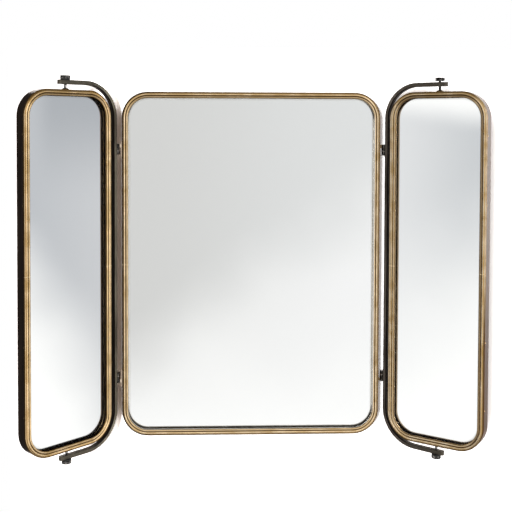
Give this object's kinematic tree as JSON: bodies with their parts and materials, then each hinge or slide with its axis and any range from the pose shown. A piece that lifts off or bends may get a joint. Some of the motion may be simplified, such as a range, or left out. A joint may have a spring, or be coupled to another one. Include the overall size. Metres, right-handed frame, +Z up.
{
  "type": "trifold wall mirror",
  "caption": "Wall mirror in a reeded gold frame with rounded corners, flanked by narrow mirrors that turn in hinged C-shaped arms.",
  "frame": {"origin": "middle of the centre mirror's back face, on the wall", "axes": "+X to the right of a person who faces the mirror, +Y into the wall, +Z up"},
  "size_m": [0.8556, 0.1668, 0.7214],
  "materials": {
    "bead": "satin antique gold over brass, darker in the grooves",
    "band": "dark bronze, satin",
    "mirror": "silvered glass, polished",
    "core": "stained backing board, matt",
    "band_pin": "bronzed, satin",
    "arm": "dark bronze flat bar, satin",
    "lug": "bronzed brass, satin",
    "knuckle": "dark bronze, satin",
    "hinge_pin": "bronzed steel, satin",
    "knob": "blackened bronze, turned",
    "washer": "black rubber, matt",
    "collar": "dark bronze, turned",
    "insert": "plain brass",
    "plate": "zinc plated steel",
    "screw": "zinc plated steel"
  },
  "bodies": {
    "centre": {"centre_band_pins": "band_pin", "centre_bead_lower": "bead", "centre_bead_upper": "bead", "centre_core_panel": "core", "centre_edge_band": "band", "centre_mirror_glass": "mirror", "hinge_lug_screws": "screw", "keyhole_plate_screws": "screw", "keyhole_plates": "plate", "left_lower_hinge_lug": "lug", "left_lower_hinge_pin": "hinge_pin", "left_upper_hinge_lug": "lug", "left_upper_hinge_pin": "hinge_pin", "right_lower_hinge_lug": "lug", "right_lower_hinge_pin": "hinge_pin", "right_upper_hinge_lug": "lug", "right_upper_hinge_pin": "hinge_pin"},
    "left_arm": {"left_lower_arm_knuckle": "knuckle", "left_lower_friction_washer": "washer", "left_upper_arm_knuckle": "knuckle", "left_upper_friction_washer": "washer", "left_yoke_arm": "arm"},
    "left_wing": {"left_lower_pivot_collar": "collar", "left_lower_threaded_insert": "insert", "left_upper_pivot_collar": "collar", "left_upper_threaded_insert": "insert", "left_wing_band_pins": "band_pin", "left_wing_bead_lower": "bead", "left_wing_bead_upper": "bead", "left_wing_core_panel": "core", "left_wing_edge_band": "band", "left_wing_mirror_glass": "mirror"},
    "left_lower_thumb_screw": {"left_lower_thumb_screw": "knob"},
    "left_upper_thumb_screw": {"left_upper_thumb_screw": "knob"},
    "right_arm": {"right_lower_arm_knuckle": "knuckle", "right_lower_friction_washer": "washer", "right_upper_arm_knuckle": "knuckle", "right_yoke_arm": "arm"},
    "right_wing": {"right_lower_pivot_collar": "collar", "right_lower_threaded_insert": "insert", "right_upper_pivot_collar": "collar", "right_upper_threaded_insert": "insert", "right_wing_band_pins": "band_pin", "right_wing_bead_lower": "bead", "right_wing_bead_upper": "bead", "right_wing_core_panel": "core", "right_wing_edge_band": "band", "right_wing_mirror_glass": "mirror"},
    "right_lower_thumb_screw": {"right_lower_thumb_screw": "knob"},
    "right_upper_thumb_screw": {"right_upper_thumb_screw": "knob"}
  },
  "joints": [
    {"name": "left_arm_swing", "type": "hinge", "parent": "centre", "child": "left_arm", "pos_m": [-0.259, -0.011, 0], "axis": [0, 0, 1], "range_deg": [-43, 57]},
    {"name": "left_wing_turn", "type": "hinge", "parent": "left_arm", "child": "left_wing", "pos_m": [-0.3453, -0.09148, 0], "axis": [0, 0, 1], "continuous": true},
    {"name": "left_upper_screw_turn", "type": "hinge", "parent": "left_wing", "child": "left_upper_thumb_screw", "pos_m": [-0.3453, -0.09148, 0], "axis": [0, 0, -1], "continuous": true},
    {"name": "left_lower_screw_turn", "type": "hinge", "parent": "left_wing", "child": "left_lower_thumb_screw", "pos_m": [-0.3453, -0.09148, 0], "axis": [0, 0, 1], "continuous": true},
    {"name": "right_arm_swing", "type": "hinge", "parent": "centre", "child": "right_arm", "pos_m": [0.259, -0.011, 0], "axis": [0, 0, -1], "range_deg": [-39, 61]},
    {"name": "right_wing_turn", "type": "hinge", "parent": "right_arm", "child": "right_wing", "pos_m": [0.3507, -0.08526, 0], "axis": [0, 0, -1], "continuous": true},
    {"name": "right_upper_screw_turn", "type": "hinge", "parent": "right_wing", "child": "right_upper_thumb_screw", "pos_m": [0.3507, -0.08526, 0], "axis": [0, 0, -1], "continuous": true},
    {"name": "right_lower_screw_turn", "type": "hinge", "parent": "right_wing", "child": "right_lower_thumb_screw", "pos_m": [0.3507, -0.08526, 0], "axis": [0, 0, 1], "continuous": true}
  ]
}
